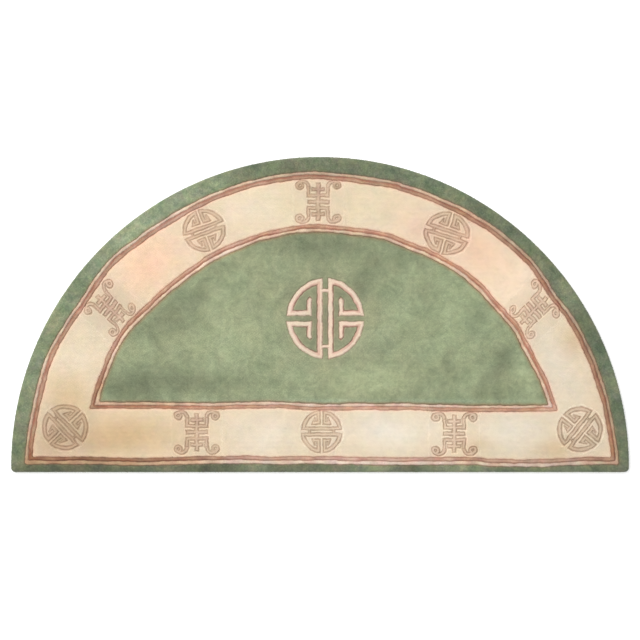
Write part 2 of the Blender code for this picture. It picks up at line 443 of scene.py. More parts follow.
class RugColours(bpy.types.PropertyGroup):
    field: colour("Field", "Sage wool of the field", (0.307, 0.353, 0.211))
    field_olive: colour("Field, olive", "Its warmer shade", (0.298, 0.310, 0.182))
    band: colour("Outer band", "Sage wool of the outer band", (0.180, 0.201, 0.121))
    band_blue: colour("Outer band, blue", "Its cooler shade", (0.138, 0.178, 0.118))
    # Painted shade between the green tufts
    pile_shade_green: colour("Deep green", "Green wool down in the pile", (0.105, 0.125, 0.070))
    # Partly the field wool's deeper colour beside a carved line, partly painted shade in the groove
    olive: colour("Olive", "Field wool cut beside a line", (0.130, 0.105, 0.055))
    # Partly the band wool's deeper colour beside a carved line, partly painted shade in the groove
    band_groove_and_shade: colour("Outer band, cut", "Band wool cut beside a line", (0.190, 0.160, 0.100))
    # Partly a brown outline round the medallion, partly painted shade in its cut
    brown_outline_and_shade: colour("Brown green", "Green wool cut beside the medallion", (0.240, 0.140, 0.098))
    border: colour("Border", "Ivory wool of the border", (0.755, 0.625, 0.450))
    border_white: colour("Border, pale", "Its paler shade", (0.735, 0.650, 0.495))
    # Painted shade between the ivory tufts
    pile_shade_ivory: colour("Deep ivory", "Ivory wool down in the pile", (0.420, 0.300, 0.190))
    line: colour("Ivory line", "Ivory wool of the narrow lines", (0.650, 0.468, 0.345))
    line_white: colour("Ivory line, pale", "Its paler shade", (0.720, 0.562, 0.425))
    rust: colour("Rust line", "Rust wool of the narrow lines", (0.438, 0.268, 0.177))
    rust_pale: colour("Faded rust", "Where the rust wool has faded to pink", (0.495, 0.316, 0.233))
    # Painted shade between the rust tufts and in the grooves beside the rust lines
    pile_shade_rust: colour("Deep rust", "Rust wool down in the pile", (0.250, 0.122, 0.074))
    # Partly pinker ivory wool beside a carved line, partly painted shade in the groove; in the medallion
    # also the painted shade between the tufts
    pink: colour("Pink", "Ivory wool beside a carved line", (0.560, 0.320, 0.230))
    bevel: colour("Bevel", "Pink wool along the medallion's inner edges", (0.605, 0.398, 0.310))
    # Partly the medallion's dark outline, partly painted shade in its cut
    dark_outline_and_shade: colour("Outline", "Dark wool cut beside the medallion", (0.290, 0.148, 0.106))
    roundel: colour("Roundel", "Wool of the small roundels", (0.652, 0.508, 0.362))
    fret: colour("Fret", "Wool of the frets", (0.695, 0.535, 0.396))
    fret_dark: colour("Fret, dark", "Their darker shade", (0.615, 0.445, 0.323))
    # Partly a tan outline round the small figures, partly painted shade in their cut
    tan_outline_and_shade: colour("Tan", "Carved edge of the small figures", (0.325, 0.212, 0.132))
    medallion: colour("Medallion", "Ivory wool of the medallion", (0.748, 0.657, 0.514))
    medallion_pink: colour("Medallion, pink", "Its pinker shade", (0.800, 0.625, 0.490))
    cotton: colour("Cotton", "Cotton backing", (0.560, 0.500, 0.400))


class RugStage(bpy.types.PropertyGroup):
    floor: colour("Floor", "Colour of the floor", (0.97, 0.97, 0.97))
    glow: FloatProperty(name="Glow", description="Light through the floor", default=0.25, min=0.0)
    fill: FloatProperty(name="Fill", description="Strength of the light all round", default=0.82, min=0.0)
    key: FloatProperty(
        name="Key", description="Power of the soft light overhead", default=92.0, min=0.0, subtype="POWER"
    )
    distance: length("Camera height", "Height of the camera above the floor", 3.9465)
    width: length("Picture width", "What the camera sees across, at the pile", 1.4164)
    shift: length("Camera offset", "How far the view's centre lies from the rug's centre", -0.0122)


def drifted(rows, where, column):
    """Smoothly between the rows of a table, in one of its columns."""
    stops = np.array([row.at for row in rows], float)
    values = np.array([getattr(row, column) for row in rows], float)
    low = np.clip(np.searchsorted(stops, where) - 1, 0, len(rows) - 2)
    share = np.clip((where - stops[low]) / (stops[low + 1] - stops[low]), 0.0, 1.0)
    return values[low] + (values[low + 1] - values[low]) * share * share * (3.0 - 2.0 * share)


def rounded(a, b, radius):
    """The smaller of two distances, with a round corner where both are small."""
    corner = radius - np.hypot(radius - a, radius - b)
    return np.where((a < radius) & (b < radius), corner, np.minimum(a, b))


def wander(x, y, reach, phase):
    """A slow, uneven wave over the plan, from about -1 to 1, as a hand strays from its line."""
    first = np.sin(x / reach + 1.3 * phase + 1.7 * np.sin(y / (1.31 * reach) + phase))
    second = np.sin(y / (0.83 * reach) + 2.1 * phase + 1.3 * np.sin(x / (1.17 * reach) + 0.7 * phase))
    return (first + second) / 2.0


def polar(x, y):
    """Bearing in degrees from -90 to 270, the distance, and the outline's distance there."""
    bearing = np.degrees(np.arctan2(y, x))
    bearing = np.where(bearing < -90.0, bearing + 360.0, bearing)
    rise = np.sin(np.radians(bearing)) ** 2
    return bearing, np.hypot(x, y), HALF_WIDTH + (ARC_RISE - HALF_WIDTH) * rise


def outline(x, y):
    """Distance in from the rug's outline."""
    _bearing, away, edge = polar(x, y)
    return rounded(edge - away, y + BASE_DROP, OUTLINE_CORNER)


def line_level(number):
    """Distance inside one of the carved lines, as a function of place."""
    line = LINES[number]

    def level(x, y):
        bearing, away, edge = polar(x, y)
        arc = edge - line.arc + drifted(ARC_DRIFT, bearing, line.guard) - away
        base = y + BASE_DROP - line.base - drifted(BASE_DRIFT, x, line.guard)
        hand = sum(share * wander(x, y, reach, phase + number) for share, reach, phase in HAND)
        return rounded(arc, base, LINE_CORNER) + LINE_STRAY * hand

    return level


def other_side(level):
    return lambda x, y: -level(x, y)


LINE_LEVELS = tuple(line_level(number) for number in range(len(LINES)))
BORDER_WALLS = (LINE_LEVELS[2], other_side(LINE_LEVELS[3]))


def turned(x, y, place):
    """Place in a figure's own axes: across its bars and along them."""
    turn = math.radians(place.turn)
    right, up = x - place.x, y - place.y
    return right * math.cos(turn) + up * math.sin(turn), up * math.cos(turn) - right * math.sin(turn)


def between(value, low, high):
    return np.minimum(value - low, high - value)


def most(*parts):
    return np.maximum.reduce(parts)


def least(*parts):
    return np.minimum.reduce(parts)


def strayed(x, y, place, stray):
    """Place in a figure's own axes, with the hand's small errors."""
    phase = place.x + place.y
    across, along = turned(x, y, place)
    across_stray = wander(x, y, 6.0, phase) + 0.5 * wander(x, y, 2.2, phase + 5.0)
    along_stray = wander(y, x, 6.6, phase + 2.0) + 0.5 * wander(y, x, 2.4, phase + 7.0)
    return across + stray * across_stray, along + stray * along_stray


def round_axes(x, y, place, chart):
    across, along = strayed(x, y, place, chart.stray)
    across = across * chart.radius / place.half_across
    along = along * chart.radius / place.half_along
    return np.abs(across), np.abs(along), np.hypot(across, along)


def round_figure(x, y, place, chart):
    """Distance inside the strokes of a round figure."""
    across, along, away = round_axes(x, y, place, chart)
    inside = chart.radius - away
    past_slot = across - chart.slot - chart.splay * np.maximum(along - chart.link_high, 0.0)
    ring = least(inside, away - chart.radius + chart.ring, past_slot, along - chart.gap)
    bar = least(past_slot, chart.bar - across, inside)
    link = least(between(along, chart.link_low, chart.link_high), chart.bar - across)
    hook = least(between(along, chart.gap, chart.hook), across - chart.stub_low, inside)
    point = chart.stub_low + chart.point
    barb = least(chart.barb_high - across, along - chart.barb_low)
    stub = least(
        across - chart.stub_low,
        most(chart.stub_high - across, barb),
        along - chart.gap,
        (chart.tip - along - np.abs(across - point) * chart.slope) / math.hypot(1.0, chart.slope),
    )
    return most(ring, bar, link, hook, stub)


def bevel(x, y, place, chart):
    """How much of a round figure's pink bevel lies at a place: along the inner side of its
    ring, bars and hooks, and wider on the left bar than on the right one."""
    across, along, away = round_axes(x, y, place, chart)
    inner = chart.stub_low - BEVEL_GAP - across
    pocket = least(
        chart.radius - chart.ring - away, across - chart.bar, most(along - chart.hook, inner),
        most(across - chart.stub_high, along - chart.tip, inner),
    )
    bar_width = np.where(x < place.x, BEVEL_LEFT_BAR, BEVEL_RIGHT_BAR)
    outer_width = np.where(away > RING_ZONE, BEVEL_RING, BEVEL_HOOK)
    width = np.where(across < chart.bar + 1.0, bar_width, outer_width)
    return np.clip(0.5 + (width + np.minimum(pocket, 0.0)) / BEVEL_SOFT, 0.0, 1.0)


def fret_figure(x, y, place, chart):
    """Distance inside the strokes of a fret."""
    across, along = strayed(x, y, place, chart.stray)
    along = along - place.lean * across * np.minimum(1.0, np.abs(across) / chart.lean_reach)
    share = np.clip(along / chart.height + 0.5, 0.0, 1.0)
    across = np.abs(across) / (place.inner_end + (place.outer_end - place.inner_end) * share)
    along = np.abs(along)
    spine = least(chart.spine - across, chart.spine_end - along)
    middle = least(chart.middle - along, chart.middle_end - across)
    tray = least(between(along, chart.tray_low, chart.tray_high), chart.tray_end - across)
    cross = least(between(along, chart.cross_low, chart.cross_high), chart.cross_end - across)
    up_stem = between(along, chart.tray_low, chart.stem_end)
    stem = least(between(across, chart.stem_low, chart.stem_high), up_stem)
    round_bend = np.hypot(across - chart.bend_x, along - chart.bend_y) - chart.bend_radius
    curled = along - chart.bend_y - chart.nub * np.maximum(across - chart.curl_x, 0.0)
    bend = least(chart.bend - np.abs(round_bend), curled)
    curl = np.hypot(across - chart.curl_x, along - chart.curl_y)
    scroll = between(curl, chart.curl_low, chart.curl_high)
    return most(spine, middle, tray, cross, stem, bend, scroll)


def figure_level(figure, place, chart, reach):
    """A figure's level, worked out only near it."""

    def level(x, y):
        away = np.hypot(x - place.x, y - place.y)
        value = reach - FIGURE_CLEAR - away
        near = away < reach
        value[near] = figure(x[near], y[near], place, chart)
        return value

    return level


def round_level(place, chart):
    return figure_level(round_figure, place, chart, place.half_along + FIGURE_CLEAR)


def disc(place, chart, margin):
    """A round patch of ground a little wider than a round figure."""

    def level(x, y):
        _across, _along, away = round_axes(x, y, place, chart)
        return chart.radius + margin - away + 0.8 * wander(x, y, EDGE_WAVE, 0.5)

    return level


def roundel_patch(place):
    """A disc round a roundel, which runs on to the two guards unless it lies in a corner."""
    patch = disc(place, SMALL_ROUND, SMALL_MARGIN)
    if abs(place.x) > CORNER_X:
        return patch
    far = math.hypot(place.x, place.y)
    on_straight_side = place.y < STRAIGHT_SIDE_Y
    out_x, out_y = (0.0, 1.0) if on_straight_side else (place.x / far, place.y / far)

    def level(x, y):
        along = (x - place.x) * out_x + (y - place.y) * out_y
        across = (x - place.x) * out_y - (y - place.y) * out_x
        return most(patch(x, y), least(GAP_HALF - np.abs(across), TO_GUARD - np.abs(along)))

    return level


def fret_patch(place):
    """A strip of ground round a fret, which runs from one guard to the other."""

    def level(x, y):
        across, along = turned(x, y, place)
        side = FRET_HALF - np.abs(across) + 2.0 * wander(x, y, EDGE_WAVE, 0.5)
        return np.minimum(side, TO_GUARD - np.abs(along))

    return level


MEDALLION_LEVEL = round_level(MEDALLION, LARGE_ROUND)
MEDALLION_PATCH = disc(MEDALLION, LARGE_ROUND, LARGE_MARGIN)

# The border's figures in their order: the name, the wool of the strokes, the place, the ground
# made with it, the strokes, and how far its bed reaches
Figure = namedtuple("Figure", "name wool place patch level reach")
FIGURES = [
    Figure(
        f"roundel_{number}", "roundel wool", place, roundel_patch(place),
        round_level(place, SMALL_ROUND), place.half_along + BED_MARGIN,
    )
    for number, place in enumerate(ROUNDELS, 1)
] + [
    Figure(
        f"fret_{number}", "fret wool", place, fret_patch(place),
        figure_level(fret_figure, place, FRET, FRET_REACH), FRET_REACH + BED_MARGIN,
    )
    for number, place in enumerate(FRETS, 1)
]


def carving(x, y, sizes):
    """How far down the shears have cut at a place, how close it is to one of the lines' carved edges, to a
    figure's and to the painted highlight beside it, and how far the lines' rust colour has run there."""
    depth, seam, mark, crest_highlight = np.zeros((4, *x.shape))
    levels = [level(x, y) for level in LINE_LEVELS]
    for value in levels:
        near = np.exp(-((value / (sizes.groove_reach / MM)) ** 2))
        depth = np.maximum(depth, near * sizes.groove / MM)
        seam = np.maximum(seam, near)
    run = np.exp(-((least(*(np.abs(value) for value in levels)) / RUN_REACH) ** 2))
    on_line = ((levels[0] > 0) & (levels[2] < 0)) | ((levels[3] > 0) & (levels[5] < 0))
    depth = np.maximum(depth, np.where(on_line, CREST_DROP, 0.0))
    cuts = [
        (figure.place.cut, figure.level, sizes.figure_cut, sizes.figure_reach) for figure in FIGURES
    ]
    outlined = OUTLINE_MARK + BEVEL_MARK * bevel(x, y, MEDALLION, LARGE_ROUND)
    cuts.append((outlined, MEDALLION_LEVEL, sizes.medallion_cut, sizes.medallion_reach))
    for strength, level, cut, reach in cuts:
        value = level(x, y)
        reach = reach / MM
        near = np.exp(-((value / reach) ** 2))
        depth = np.maximum(depth, near * cut / MM)
        depth = depth - sizes.raised / MM * np.clip(value / STROKE_SHOULDER, 0.0, 1.0)
        mark = np.maximum(mark, strength * near)
        # A painted highlight on the ground just outside the cut
        crest_highlight = np.maximum(crest_highlight, strength * np.exp(-((value / reach + CREST_OFF) / CREST_WIDTH) ** 2))
    return depth, seam, mark, crest_highlight, run


def rim_profile():
    """The turned-down rim: distance along it, then the inset and height of each point."""
    turn = np.linspace(0.0, math.pi, 91)
    reach = np.where(turn < math.pi / 2.0, SHOULDER, FOOT)
    inset = reach * (1.0 - np.sin(turn))
    height = THICKNESS / 2.0 * (1.0 + np.cos(turn))
    steps = np.hypot(np.diff(inset), np.diff(height))
    return np.concatenate(([0.0], np.cumsum(steps))), inset, height


RIM_ALONG, RIM_INSET, RIM_HEIGHT = rim_profile()
RIM_LENGTH = float(RIM_ALONG[-1])


def rim_end(x, y):
    return outline(x, y) - SHOULDER + RIM_LENGTH


def gradient(level, x, y):
    step = 0.05
    across = (level(x + step, y) - level(x - step, y)) / (2.0 * step)
    up = (level(x, y + step) - level(x, y - step)) / (2.0 * step)
    return across, up, np.maximum(across * across + up * up, 0.04)


def on_surface(x, y):
    """From the flat plan, which runs on past the shoulder, to the rug's surface: the point and
    the direction out of the pile, both as columns of x, y and z in millimetres."""
    along = np.clip(SHOULDER - outline(x, y), 0.0, RIM_LENGTH)
    inset = np.interp(along, RIM_ALONG, RIM_INSET)
    height = np.interp(along, RIM_ALONG, RIM_HEIGHT)
    ahead, behind = (np.clip(along + step, 0.0, RIM_LENGTH) for step in (0.2, -0.2))
    down, inwards = (
        np.where(along > 0.0, np.interp(ahead, RIM_ALONG, row) - np.interp(behind, RIM_ALONG, row), flat)
        for row, flat in ((RIM_HEIGHT, 0.0), (RIM_INSET, -1.0))
    )
    size = np.maximum(np.hypot(down, inwards), 1e-9)
    in_x, in_y, square = gradient(outline, x, y)
    in_x, in_y = in_x / np.sqrt(square), in_y / np.sqrt(square)
    back = along - (SHOULDER - inset)
    place = np.stack([x + in_x * back, y + in_y * back, height], axis=1)
    out = np.stack([in_x * down / size, in_y * down / size, -inwards / size], axis=1)
    return place, out


def tinted(light, straw, blush):
    """The colour that multiplies the wool's, for so much lighter, so much straw and blush."""
    return np.exp(np.clip(np.stack([light, straw, blush], axis=1) @ TONES, -1.2, 0.9))


def patchy(patches):
    """How hand-dyed patches change the wool's colour, with painted shade where the pile lies one way or
    another, as a function of place.
    """

    def dye(x, y):
        amounts = np.zeros((3, x.size))
        for patch in patches:
            across, up = turned(x, y, patch)
            near = np.exp(-((across / patch.reach_x) ** 2) - (up / patch.reach_y) ** 2)
            amounts += np.array([[patch.light], [patch.straw], [patch.blush]]) * near
        return tinted(*amounts)

    return dye


def along_line(number, tone_column, streak):
    """How the dye changes along one of the narrow lines, which lies inside a numbered carved line
    and has its column in the tone tables. A line of rust has a red streak that wanders beside the
    ivory line: streak is the carved line that it follows."""
    straw = LINES[number].guard + "_straw"

    def dye(x, y):
        bearing, away, edge = polar(x, y)
        on_base = y + BASE_DROP < edge - away
        light_at, straw_at = (
            np.where(on_base, drifted(BASE_TONE, x, column), drifted(ARC_TONE, bearing, column))
            for column in (tone_column, straw)
        )
        blotch = BLOTCH * wander(x, y, 7.0, number + 11)
        blush = 0.6 * BLOTCH * wander(x, y, 9.0, number + 7) - blotch
        straw_at = straw_at + 0.5 * BLOTCH * wander(x, y, 11.0, number + 3)
        tone = tinted(light_at + blotch, straw_at, blush)
        if streak is None:
            return tone
        stray = STREAK_STRAY * wander(x, y, 20.0, number)
        off = np.abs(LINE_LEVELS[streak](x, y)) - STREAK_OFF - stray
        shown = np.where(on_base, np.interp(x, STREAK_FADE, (1.0, FADED)), 1.0)
        faint = shown * (0.75 + 0.35 * wander(x, y, 17.0, number + 5))
        return tone * np.exp(np.outer(faint * np.exp(-((off / STREAK_WIDTH) ** 2)), STREAK))

    return dye


def settled(level, x, y, clear):
    """Moves the tufts that stand on a line to one side of it."""
    value = level(x, y)
    near = np.abs(value) < clear
    across, up, square = gradient(level, x[near], y[near])
    move = (np.where(value[near] >= 0.0, clear, -clear) - value[near]) / square
    x, y = x.copy(), y.copy()
    x[near] += np.clip(move * across, -clear, clear)
    y[near] += np.clip(move * up, -clear, clear)
    return x, y


def drawn_to(level, x, y, which, most_move):
    """Draws the chosen corners onto a line."""
    if not which.any():
        return x, y
    start_x, start_y = x[which], y[which]
    at_x, at_y = start_x.copy(), start_y.copy()
    for _step in range(3):
        across, up, square = gradient(level, at_x, at_y)
        move = level(at_x, at_y) / square
        at_x -= np.clip(move * across, -most_move, most_move)
        at_y -= np.clip(move * up, -most_move, most_move)
    away = np.maximum(np.hypot(at_x - start_x, at_y - start_y), 1e-9)
    share = np.minimum(1.0, most_move / away)
    x, y = x.copy(), y.copy()
    x[which] = start_x + (at_x - start_x) * share
    y[which] = start_y + (at_y - start_y) * share
    return x, y


def tuft_lattice(low, high, pitch, seed):
    """Tufts in offset rows, each a little out of place, and the three tufts at every corner."""
    rows = int((high[1] - low[1]) / (pitch * ROW_STEP)) + 4
    columns = int((high[0] - low[0]) / pitch) + 5
    row, column = np.indices((rows, columns))
    odd = row % 2
    chance = np.random.default_rng(seed)
    x = low[0] + (column - 2 + 0.5 * odd + chance.uniform(-JITTER, JITTER, row.shape)) * pitch
    y = low[1] + ((row - 2) * ROW_STEP + chance.uniform(-JITTER, JITTER, row.shape)) * pitch

    def number(at_row, at_column):
        at_row = np.clip(at_row, 0, rows - 1)
        return (at_row * columns + np.clip(at_column, 0, columns - 1)).ravel()

    here = number(row, column)
    upper_left, upper_right = number(row + 1, column - 1 + odd), number(row + 1, column + odd)
    lower_left, lower_right = number(row - 1, column - 1 + odd), number(row - 1, column + odd)
    count = here.size
    trios = np.concatenate([
        np.stack([here, number(row, column + 1), upper_right], axis=1),
        np.stack([here, upper_right, upper_left], axis=1),
    ])
    rings = np.stack([
        here, here + count, number(row, column - 1),
        lower_left + count, lower_left, lower_right + count,
    ], axis=1)
    middle = ((row > 0) & (row < rows - 1) & (column > 0) & (column < columns - 1)).ravel()
    return x.ravel(), y.ravel(), trios, rings, middle, chance


def tuft_faces(x, y, corner_x, corner_y, rings):
    """Doubled areas of each tuft's six faces, seen from above."""
    from_x, from_y = corner_x[rings] - x[:, None], corner_y[rings] - y[:, None]
    to_x, to_y = np.roll(from_x, -1, axis=1), np.roll(from_y, -1, axis=1)
    return from_x * to_y - from_y * to_x


def tuft_plan(box, pitch, seed, walls, edge):
    """One bed of tufts in plan: their places, their corners, the six corners round each tuft,
    which corners lie on a wall or on the edge, and the bed's random numbers."""
    x, y, trios, rings, kept, chance = tuft_lattice(*box, pitch, seed)
    levels = [*walls, edge] if edge else walls
    for level in levels:
        x, y = settled(level, x, y, CLEAR * pitch)
    sides = [level(x, y) > 0.0 for level in levels]
    for side in sides[: len(walls)]:
        kept = kept & side
    used = np.unique(rings[kept])
    trios = trios[used]
    corner_x, corner_y = x[trios].mean(axis=1), y[trios].mean(axis=1)
    crossed = [side[trios].any(axis=1) & ~side[trios].all(axis=1) for side in sides]
    for _round in range(3 if len(levels) > 1 else 1):
        for level, across in zip(levels, crossed):
            corner_x, corner_y = drawn_to(level, corner_x, corner_y, across, CORNER_MOVE * pitch)
    place = np.zeros(rings.max() + 1, int)
    place[used] = np.arange(used.size)
    rings = place[rings[kept]]
    x, y = x[kept], y[kept]
    for _round in range(2):
        bad = tuft_faces(x, y, corner_x, corner_y, rings).min(axis=1) < SLIVER * pitch * pitch
        x = np.where(bad, corner_x[rings].mean(axis=1), x)
        y = np.where(bad, corner_y[rings].mean(axis=1), y)
    whole = tuft_faces(x, y, corner_x, corner_y, rings).sum(axis=1) > 0.0
    on_wall = np.logical_or.reduce(crossed)
    return x[whole], y[whole], corner_x, corner_y, rings[whole], on_wall, chance


def tuft_mesh(name, points, rings):
    """A mesh of six faces round each tuft's tip, and their corners. The tips come first in the
    points, and the corners that the rings number come after them."""
    centre = np.arange(len(rings))
    ring_corners = rings + centre.size
    faces = np.stack([
        np.stack([centre, ring_corners[:, turn], ring_corners[:, (turn + 1) % 6]], axis=1)
        for turn in range(6)
    ], axis=1).reshape(-1, 3)
    mesh = bpy.data.meshes.new(name)
    mesh.vertices.add(points.shape[0])
    mesh.vertices.foreach_set("co", points.ravel())
    mesh.loops.add(faces.size)
    mesh.loops.foreach_set("vertex_index", faces.ravel().astype(np.int32))
    mesh.polygons.add(faces.shape[0])
    mesh.polygons.foreach_set("loop_start", np.arange(0, faces.size, 3, dtype=np.int32))
    mesh.update(calc_edges=True)
    mesh.shade_smooth()
    return mesh, faces


def tuft_bed(scene, name, wools, box, pitch, seed, walls, dye, run_tint, edge=None, light=0.0,
             blush=None):
    """One bed of pile between its walls, as a piece. Pitch names one of the rug's sizes. Where
    the bed has an edge inside, as a figure has, the tufts inside that edge take the second wool,
    and light is how much lighter they are."""
    sizes = scene.rug_sizes
    pitch = getattr(sizes, pitch) / MM
    x, y, corner_x, corner_y, rings, on_wall, chance = tuft_plan(box, pitch, seed, walls, edge)
    count = x.size
    at_x, at_y = np.concatenate([x, corner_x]), np.concatenate([y, corner_y])
    cut, seam, mark, crest_highlight, run = carving(at_x, at_y, sizes)
    carved = np.minimum(np.maximum(seam, mark), 1.0)
    fine = pitch * MM / sizes.ground_pitch
    rise = fine * (sizes.tip / MM + chance.normal(0.0, sizes.uneven / MM, count))
    rise = rise * (1.0 - 0.6 * carved[:count])
    fall = fine * chance.normal(0.0, CORNER_UNEVEN, corner_x.size) - fine * sizes.dip / MM
    fall = np.where(on_wall, 0.8, 1.0) * fall * (1.0 - carved[count:])
    surface, out = on_surface(at_x, at_y)
    lean = chance.normal(0.0, LEAN * pitch, (count, 2))
    surface += out * (np.concatenate([rise, fall]) - cut)[:, None]
    surface[:count, :2] += lean * np.clip(out[:count, 2:], 0.0, 1.0)
    surface[:, 2] = np.maximum(surface[:, 2], LOWEST)
    mesh, faces = tuft_mesh(name, surface * MM + np.array([0.0, ARC_CENTRE_Y * MM, 0.0]), rings)

    def keep(label, kind, domain, field, values):
        made = mesh.attributes.new(label, kind, domain)
        made.data.foreach_set(field, np.ascontiguousarray(values, dtype=np.float32).ravel())

    # The tint of each point: hand-dyed patches with painted nap shade, the rust run beside the lines, and
    # a painted highlight beside the figures' cuts
    tint = np.ones((at_x.size, 4))
    tint[:, :3] = dye(at_x, at_y) * np.exp(np.outer(run, run_tint) + np.outer(crest_highlight, CREST_HIGHLIGHT))
    if edge:
        value = edge(at_x, at_y)
        inside = value > 0.0
        strokes = patchy(STROKE_PATCHES)(at_x[inside], at_y[inside])
        tint[inside, :3] *= strokes * math.exp(LIGHTER[0] * light)
        if not blush:
            close = np.exp(-((value[~inside] / BESIDE_REACH) ** 2))
            tint[~inside, :3] *= np.exp(np.outer(close, BESIDE))
        second = np.repeat((edge(x, y) > 0.0).astype(np.int32), 6)
        mesh.polygons.foreach_set("material_index", second)
    # Full colour at the tips and painted shade at the corners between the tufts, a little less shade on a
    # wall
    tips = np.concatenate([np.ones(count), np.where(on_wall, 0.2 * (1.0 - carved[count:]), 0.0)])
    floats = {"tip": tips, "seam": seam, "carve": mark}
    if blush:
        floats["blush"] = blush(at_x, at_y)
    for label, values in floats.items():
        keep(label, "FLOAT", "POINT", "value", values)
    keep("dye", "FLOAT_COLOR", "POINT", "color", tint)
    keep("fleck", "FLOAT", "FACE", "value", np.repeat(chance.uniform(0.0, 1.0, count), 6))
    spread = max(np.ptp(at_x), np.ptp(at_y)) * 1.02
    flat = np.stack([(at_x - at_x.min()) / spread + 0.01, (at_y - at_y.min()) / spread + 0.01], axis=1)
    layer = mesh.uv_layers.new(name="OFBake")
    layer.data.foreach_set("uv", flat[faces.ravel()].astype(np.float32).ravel())
    mesh.validate()
    piece(name, mesh, [wool(kind, scene.rug_colours) for kind in wools])


def linked(name, data):
    made = bpy.data.objects.new(name, data)
    bpy.context.scene.collection.objects.link(made)
    return made


def piece(name, mesh, materials):
    """Links a mesh as a piece of the rug that takes the CAD rug's place."""
    for material in materials:
        mesh.materials.append(material)
    made = linked(name, mesh)
    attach(made, "root")
    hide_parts("rug")
    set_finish(made, "wool_pile")
    return made


def opaque(colour_value):
    return (*colour_value, 1.0)


def feed(tree, node, inputs):
    """Sets a node's inputs, each to a value or to the output that feeds it."""
    for socket, given in inputs.items():
        if isinstance(given, bpy.types.NodeSocket):
            tree.links.new(given, node.inputs[socket])
        else:
            node.inputs[socket].default_value = given


def add(tree, kind, inputs, **settings):
    """Adds a node to the right of those there are, and gives its outputs."""
    made = tree.nodes.new(kind)
    column = len(tree.nodes)
    made.location = (220 * column, -160 * (column % 3))
    for name, value in settings.items():
        setattr(made, name, value)
    feed(tree, made, inputs)
    return made.outputs


def attribute(tree, name):
    return add(tree, "ShaderNodeAttribute", {}, attribute_name=name)


def maths(tree, operation, *values):
    return add(tree, "ShaderNodeMath", dict(enumerate(values)), operation=operation)["Value"]


def mixed(tree, factor, first, second, blend="MIX"):
    """A mix of two colours."""
    sockets = {0: factor, 6: first, 7: second}
    return add(tree, "ShaderNodeMix", sockets, data_type="RGBA", blend_type=blend)[2]


def noise(tree, scale, **more):
    """Noise that stays with the piece: its value and its colour."""
    where = add(tree, "ShaderNodeTexCoord", {})["Object"]
    made = add(tree, "ShaderNodeTexNoise", {"Vector": where, "Scale": scale, **more})
    return made["Fac"], made["Color"]


def ramp(tree, value, low, high, start=0.0):
    """From start to 1, smoothly, as the value goes from low to high."""
    sockets = {"Value": value, "From Min": low, "From Max": high, "To Min": start}
    return add(tree, "ShaderNodeMapRange", sockets, interpolation_type="SMOOTHSTEP")["Result"]


def shaded(tree, colour_value, value, amount):
    """A colour made lighter and darker by so much of a value that lies about a half."""
    bright = maths(tree, "MULTIPLY_ADD", maths(tree, "SUBTRACT", value, 0.5), amount, 1.0)
    return add(tree, "ShaderNodeHueSaturation", {"Color": colour_value, "Value": bright})["Color"]


def bumped(tree, height, strength, distance):
    sockets = {"Height": height, "Strength": strength, "Distance": distance}
    return add(tree, "ShaderNodeBump", sockets)["Normal"]


def tuft_tone(tree, given):
    """Painted shade between the tufts, full colour at their tips, and each tuft a tone of its own."""
    up = ramp(tree, attribute(tree, "tip")["Fac"], -0.35, 0.55)
    lit = mixed(tree, up, given["Deep colour"], given["Colour"])
    return shaded(tree, lit, attribute(tree, "fleck")["Fac"], given["Fleck"])


def second_shade(tree, given):
    """A second shade of the wool that comes and goes over the rug."""
    broad, _hues = noise(tree, given["Scale"], Detail=5.0, Roughness=0.7)
    amount = maths(tree, "MULTIPLY", ramp(tree, broad, 0.36, 0.64), given["Amount"])
    return mixed(tree, amount, given["Colour"], given["Second colour"])


def dye_and_nap(tree, given):
    """The hand-dyed patches with their painted nap shade, and a fine painted shade where the pile leans
    one way and another.
    """
    dyed = mixed(tree, given["Dye"], given["Colour"], attribute(tree, "dye")["Color"], "MULTIPLY")
    fine, hues = noise(tree, given["Scale"], Detail=4.0, Roughness=0.76, Distortion=0.4)
    return mixed(tree, given["Hues"], shaded(tree, dyed, fine, given["Mottle"]), hues, "OVERLAY")


def carved_edge(tree, given):
    """A colour laid along a carved edge, here more, there less: along the cuts, partly the deeper colour
    that the shears open up and partly painted shade in the groove, and along the medallion's inner edges
    its pink bevel.
    """
    patches, _hues = noise(tree, given["Scale"], Detail=2.0)
    near = maths(tree, "MULTIPLY", given["Nearness"], given["Amount"])
    share = maths(tree, "MULTIPLY", near, ramp(tree, patches, 0.36, 0.60, 0.45))
    return mixed(tree, share, given["Colour"], given["Cut colour"])


def wool_relief(tree, given):
    """Height of the round tufts and of the fibres on them, in metres."""
    quarter = maths(tree, "MULTIPLY", attribute(tree, "tip")["Fac"], math.pi / 2.0)
    tuft = maths(tree, "MULTIPLY", maths(tree, "SINE", quarter), given["Tuft"])
    fibres, _hues = noise(tree, given["Fibre scale"], Detail=2.0)
    return maths(tree, "ADD", tuft, maths(tree, "MULTIPLY", fibres, given["Fibre"]))


# The node groups that the wools share: what makes the inside, the inputs with their defaults,
# and the output. An input with no default is a colour.
Group = namedtuple("Group", "inside inputs output")
GROUPS = {
    "Tuft tone": Group(tuft_tone, {"Colour": None, "Deep colour": None, "Fleck": 0.1}, "Colour"),
    "Second shade": Group(
        second_shade, {"Colour": None, "Second colour": None, "Amount": 0.5, "Scale": 12.0}, "Colour",
    ),
    "Dye and nap": Group(
        dye_and_nap, {"Colour": None, "Dye": 1.0, "Mottle": 0.3, "Hues": 0.07, "Scale": 30.0}, "Colour",
    ),
    "Carved edge": Group(
        carved_edge,
        {"Colour": None, "Cut colour": None, "Nearness": 0.0, "Amount": 0.8, "Scale": 50.0}, "Colour",
    ),
    "Wool relief": Group(
        wool_relief, {"Tuft": 0.0006, "Fibre": 0.0002, "Fibre scale": 900.0}, "Height",
    ),
}


